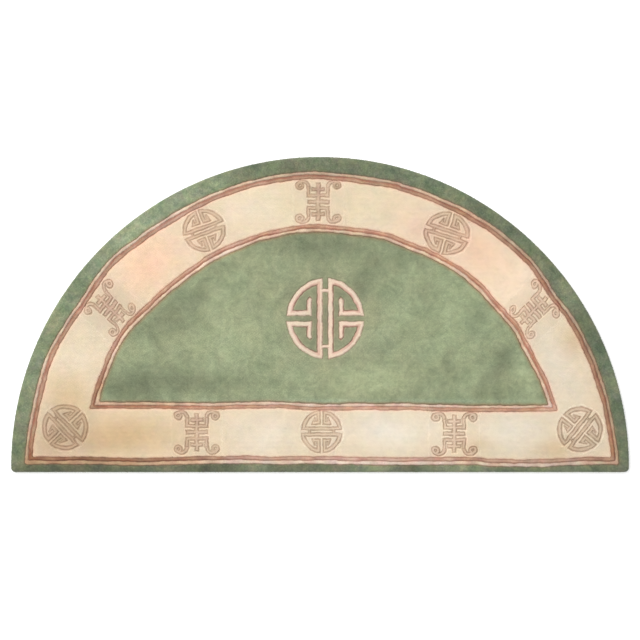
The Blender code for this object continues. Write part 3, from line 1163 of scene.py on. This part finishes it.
def shared_group(name):
    """One of the node groups, built the first time that a material uses it."""
    if name in bpy.data.node_groups:
        return bpy.data.node_groups[name]
    inside, inputs, output = GROUPS[name]
    tree = bpy.data.node_groups.new(name, "ShaderNodeTree")
    for socket, default in inputs.items():
        kind = "NodeSocketColor" if default is None else "NodeSocketFloat"
        made = tree.interface.new_socket(name=socket, in_out="INPUT", socket_type=kind)
        if default is not None:
            made.default_value = default
    kind = "NodeSocketFloat" if output == "Height" else "NodeSocketColor"
    tree.interface.new_socket(name=output, in_out="OUTPUT", socket_type=kind)
    given = add(tree, "NodeGroupInput", {})
    add(tree, "NodeGroupOutput", {output: inside(tree, given)})
    return tree


def grouped(tree, name, **given):
    """One of the shared groups in a material, with the material's own values."""
    sockets = {socket.replace("_", " ").capitalize(): value for socket, value in given.items()}
    return add(tree, "ShaderNodeGroup", sockets, node_tree=shared_group(name))[0]


def new_material(name, roughness, specular):
    """A material with its nodes and its shader."""
    material = bpy.data.materials.new(name)
    material.use_nodes = True
    surface = material.node_tree.nodes["Principled BSDF"]
    feed(material.node_tree, surface, {"Roughness": roughness, "Specular IOR Level": specular})
    return material, material.node_tree, surface


# The wools: their colours at the tips, their painted shade between the tufts, beside a line and beside a
# figure (partly the wool's deeper colour there and partly painted shade in the groove), their second shade
# with how much of it there is and its scale, their painted nap shade, stray hues and flecks, and the
# colour laid along a figure's inner edges where there is one
Wool = namedtuple("Wool", "tips deep seam cut second amount scale mottle hues fleck edge", defaults=[None])
WOOLS = {
    "sage band wool": Wool(
        "band", "pile_shade_green", "band_groove_and_shade", "olive", "band_blue", 0.6, 14.0, 1.45, 0.26, 0.28),
    "sage field wool": Wool(
        "field", "pile_shade_green", "olive", "brown_outline_and_shade", "field_olive", 0.5, 14.0, 1.1, 0.06, 0.14),
    "ivory border wool": Wool(
        "border", "pile_shade_ivory", "pink", "tan_outline_and_shade", "border_white", 0.5, 14.0, 0.32, 0.1, 0.05),
    "ivory line wool": Wool(
        "line", "pile_shade_ivory", "pink", "pink", "line_white", 0.8, 22.0, 0.45, 0.14, 0.14),
    "rust line wool": Wool(
        "rust", "pile_shade_rust", "pile_shade_rust", "pile_shade_rust", "rust_pale", 0.9, 14.0, 0.6, 0.14, 0.18),
    "medallion wool": Wool(
        "medallion", "pink", "pink", "dark_outline_and_shade", "medallion_pink", 0.6, 20.0, 0.3, 0.1, 0.10, "bevel"),
    "roundel wool": Wool(
        "roundel", "pile_shade_ivory", "pink", "tan_outline_and_shade", "fret", 0.3, 30.0, 0.34, 0.08, 0.10),
    "fret wool": Wool(
        "fret", "pile_shade_ivory", "pink", "tan_outline_and_shade", "fret_dark", 0.8, 45.0, 0.45, 0.08, 0.12),
}


def wool(name, colours):
    """One of the wools as a material, made the first time that a piece takes it."""
    if name in bpy.data.materials:
        return bpy.data.materials[name]
    kind = WOOLS[name]
    tips, deep_shade, seam, cut, second = (opaque(getattr(colours, shade)) for shade in kind[:5])
    material, tree, surface = new_material(name, 0.95, 0.2)
    last = grouped(
        tree, "Second shade", colour=tips, second_colour=second, amount=kind.amount, scale=kind.scale,
    )
    last = grouped(tree, "Tuft tone", colour=last, deep_colour=deep_shade, fleck=kind.fleck)
    # Along the carved edges: partly the wool's deeper colour, partly painted shade in the grooves
    cuts = [("carve", cut, 0.72, 55.0), ("seam", seam, 0.62, 55.0)]
    if kind.edge:
        cuts.insert(0, ("blush", opaque(getattr(colours, kind.edge)), 1.0, 18.0))
    for label, shown, amount, scale in cuts:
        near = attribute(tree, label)["Fac"]
        last = grouped(
            tree, "Carved edge", colour=last, cut_colour=shown, nearness=near, amount=amount, scale=scale,
        )
    last = grouped(
        tree, "Dye and nap", colour=last, dye=0.0 if kind.edge else 1.0, mottle=kind.mottle,
        hues=kind.hues, scale=30.0,
    )
    relief = bumped(tree, grouped(tree, "Wool relief"), 0.6, 1.0)
    sheen = {"Sheen Weight": 0.12, "Sheen Roughness": 0.6}
    feed(tree, surface, {"Base Color": last, "Normal": relief, **sheen})
    return material


def cotton(name, value):
    """Plain-woven cotton backing cloth."""
    material, tree, surface = new_material(name, 0.92, 0.2)
    where = add(tree, "ShaderNodeTexCoord", {})["Object"]
    thread = {"Vector": where, "Scale": 140.0, "Distortion": 1.2}
    threads = [add(tree, "ShaderNodeTexWave", thread, bands_direction=way)["Fac"] for way in "XY"]
    cloth = maths(tree, "MAXIMUM", *threads)
    # Painted shade between the threads
    deep_shade = opaque([part * 0.55 for part in value])
    woven = mixed(tree, cloth, deep_shade, opaque(value))
    feed(tree, surface, {"Base Color": woven, "Normal": bumped(tree, cloth, 1.0, 0.0004)})
    return material


def whole_plan():
    past = RIM_LENGTH - SHOULDER + RIM_MARGIN
    return (-HALF_WIDTH - past, -BASE_DROP - past), (HALF_WIDTH + past, ARC_RISE + past)


def inner_plan():
    half = HALF_WIDTH - INNER_MARGIN
    return (-half, 0.0), (half, ARC_RISE - INNER_MARGIN)


def around(place, reach):
    return (place.x - reach, place.y - reach), (place.x + reach, place.y + reach)


class RUG_OT_outer_band(bpy.types.Operator):
    """Make the green band round the outside, with its pile turned down over the rim"""
    bl_idname = "rug.outer_band"
    bl_label = "Outer band"

    def execute(self, context):
        walls = (rim_end, other_side(LINE_LEVELS[0]))
        tuft_bed(context.scene, "outer_band", ["sage band wool"], whole_plan(), "ground_pitch", 11,
                 walls, patchy(BAND_PATCHES), RUN_INTO_BAND)
        return {"FINISHED"}


class RUG_OT_guard_lines(bpy.types.Operator):
    """Make the two pairs of narrow ivory and rust lines"""
    bl_idname = "rug.guard_lines"
    bl_label = "Guard lines"

    def execute(self, context):
        beds = (
            ("outer_ivory", "ivory line wool", whole_plan(), 0, None),
            ("outer_rust", "rust line wool", whole_plan(), 1, 1),
            ("inner_rust", "rust line wool", inner_plan(), 3, 4),
            ("inner_ivory", "ivory line wool", inner_plan(), 4, None),
        )
        for line, kind, box, outer, streak in beds:
            walls = (LINE_LEVELS[outer], other_side(LINE_LEVELS[outer + 1]))
            tuft_bed(context.scene, line + "_line", [kind], box, "line_pitch", 21 + outer, walls,
                     along_line(outer, line, streak), NO_RUN)
        return {"FINISHED"}


class RUG_OT_border(bpy.types.Operator):
    """Make the ivory ground of the wide border"""
    bl_idname = "rug.border"
    bl_label = "Border"

    def execute(self, context):
        walls = BORDER_WALLS + tuple(other_side(figure.patch) for figure in FIGURES)
        tuft_bed(context.scene, "border", ["ivory border wool"], inner_plan(), "ground_pitch", 31,
                 walls, patchy(BORDER_PATCHES), RUN_INTO_IVORY)
        return {"FINISHED"}


class RUG_OT_field(bpy.types.Operator):
    """Make the plain green field"""
    bl_idname = "rug.field"
    bl_label = "Field"

    def execute(self, context):
        walls = (LINE_LEVELS[5], other_side(MEDALLION_PATCH))
        tuft_bed(context.scene, "field", ["sage field wool"], inner_plan(), "ground_pitch", 41,
                 walls, patchy(FIELD_PATCHES), RUN_INTO_FIELD)
        return {"FINISHED"}


class RUG_OT_medallion(bpy.types.Operator):
    """Make the large round figure in the middle of the field"""
    bl_idname = "rug.medallion"
    bl_label = "Medallion"

    def execute(self, context):
        tuft_bed(context.scene, "medallion", ["sage field wool", "medallion wool"],
                 around(MEDALLION, MEDALLION_BOX), "medallion_pitch", 51, (MEDALLION_PATCH,),
                 patchy(FIELD_PATCHES), RUN_INTO_FIELD, MEDALLION_LEVEL,
                 blush=lambda x, y: bevel(x, y, MEDALLION, LARGE_ROUND))
        return {"FINISHED"}


class RUG_OT_border_figures(bpy.types.Operator):
    """Make the five small roundels and the five frets of the border"""
    bl_idname = "rug.border_figures"
    bl_label = "Border figures"

    def execute(self, context):
        for seed, figure in enumerate(FIGURES, 61):
            tuft_bed(context.scene, figure.name, ["ivory border wool", figure.wool],
                     around(figure.place, figure.reach), "figure_pitch", seed,
                     (figure.patch, *BORDER_WALLS), patchy(BORDER_PATCHES), RUN_INTO_IVORY,
                     figure.level, figure.place.light)
        return {"FINISHED"}


class RUG_OT_backing(bpy.types.Operator):
    """Make the cotton cloth under the pile"""
    bl_idname = "rug.backing"
    bl_label = "Backing"

    def execute(self, context):
        inset = BACKING_INSET
        bearings = np.radians(np.linspace(-0.5, 180.5, 220))
        x = (HALF_WIDTH - inset) * np.cos(bearings)
        y = (ARC_RISE - inset) * np.sin(bearings)
        above = y > -BASE_DROP + inset
        x, y = x[above], y[above]
        edge = np.linspace(-HALF_WIDTH + inset + 0.3, HALF_WIDTH - inset - 0.3, 120)
        x = np.concatenate([x, edge])
        y = np.concatenate([y, np.full(edge.size, -BASE_DROP + inset)])
        count = x.size
        high = context.scene.rug_sizes.backing / MM
        points = [(a * MM, (b + ARC_CENTRE_Y) * MM, h * MM) for h in (0.0, high) for a, b in zip(x, y)]
        lower = list(range(count))
        sides = [(at, (at + 1) % count, (at + 1) % count + count, at + count) for at in lower]
        faces = [lower[::-1], [at + count for at in lower], *sides]
        mesh = bpy.data.meshes.new("backing")
        mesh.from_pydata(points, [], faces)
        mesh.validate()
        made = piece("backing", mesh, [cotton("cotton backing", context.scene.rug_colours.cotton)])
        [other for other in bpy.data.objects if other.get("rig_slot") and other != made]
        return {"FINISHED"}


class RUG_OT_stage(bpy.types.Operator):
    """Make the floor, the lights and the camera"""
    bl_idname = "rug.stage"
    bl_label = "Stage"

    def execute(self, context):
        scene, stage = context.scene, context.scene.rug_stage
        low, high = CAD_BOX
        middle = (low + high) / 2.0
        mesh = bpy.data.meshes.new("floor")
        corners = ((-1.0, -1.0), (1.0, -1.0), (1.0, 1.0), (-1.0, 1.0))
        points = [(x * FLOOR_REACH, y * FLOOR_REACH, 0.0) for x, y in corners]
        mesh.from_pydata(points, [], [(0, 1, 2, 3)])
        material, tree, surface = new_material("pale floor", 0.85, 0.1)
        cloud = add(tree, "ShaderNodeTexNoise", {"Scale": 3.0})["Fac"]
        duller = opaque([part * 0.985 for part in stage.floor])
        feed(tree, surface, {
            "Base Color": mixed(tree, cloud, opaque(stage.floor), duller),
            "Emission Color": WHITE, "Emission Strength": stage.glow,
        })
        mesh.materials.append(material)
        floor = linked("floor", mesh)

        scene.world = bpy.data.worlds.new("studio")
        scene.world.use_nodes = True
        sky = scene.world.node_tree
        feed(sky, sky.nodes["Background"], {"Color": WHITE, "Strength": stage.fill})
        key = bpy.data.lights.new("key", "AREA")
        key.shape = "DISK"
        key.size = KEY_SIZE
        key.energy = stage.key
        lamp = linked("key", key)
        lamp.location = (middle.x + KEY_PLACE[0], middle.y + KEY_PLACE[1], KEY_PLACE[2])
        lamp.rotation_euler = (middle - lamp.location).to_track_quat("-Z", "Y").to_euler()

        lens = bpy.data.cameras.new("camera")
        lens.sensor_width = SENSOR_MM
        lens.lens = SENSOR_MM * (stage.distance - high.z) / stage.width
        scene.camera = linked("camera", lens)
        scene.camera.location = (middle.x, middle.y + stage.shift, stage.distance)
        scene.view_settings.view_transform = "Standard"
        return {"FINISHED"}


STEPS = (
    RUG_OT_outer_band, RUG_OT_guard_lines, RUG_OT_border, RUG_OT_field, RUG_OT_medallion,
    RUG_OT_border_figures, RUG_OT_backing, RUG_OT_stage,
)


class RUG_PT_panel(bpy.types.Panel):
    """The rug's sizes, colours and steps"""
    bl_idname = "RUG_PT_panel"
    bl_label = "Half-round rug"
    bl_space_type = "VIEW_3D"
    bl_region_type = "UI"
    bl_category = "Rug"

    def draw(self, context):
        scene = context.scene
        for group in (scene.rug_sizes, scene.rug_colours, scene.rug_stage):
            box = self.layout.box()
            for name in group.__annotations__:
                box.prop(group, name)
        for step in STEPS:
            self.layout.operator(step.bl_idname)


CLASSES = (RugSizes, RugColours, RugStage, *STEPS, RUG_PT_panel)


def register():
    for made in CLASSES:
        bpy.utils.register_class(made)
    bpy.types.Scene.rug_sizes = PointerProperty(type=RugSizes)
    bpy.types.Scene.rug_colours = PointerProperty(type=RugColours)
    bpy.types.Scene.rug_stage = PointerProperty(type=RugStage)


def unregister():
    del bpy.types.Scene.rug_stage
    del bpy.types.Scene.rug_colours
    del bpy.types.Scene.rug_sizes
    for made in reversed(CLASSES):
        bpy.utils.unregister_class(made)


def main():
    register()
    for step in STEPS:
        group, name = step.bl_idname.split(".")
        getattr(getattr(bpy.ops, group), name)()
    bpy.context.view_layer.update()


if __name__ == "__main__":
    main()
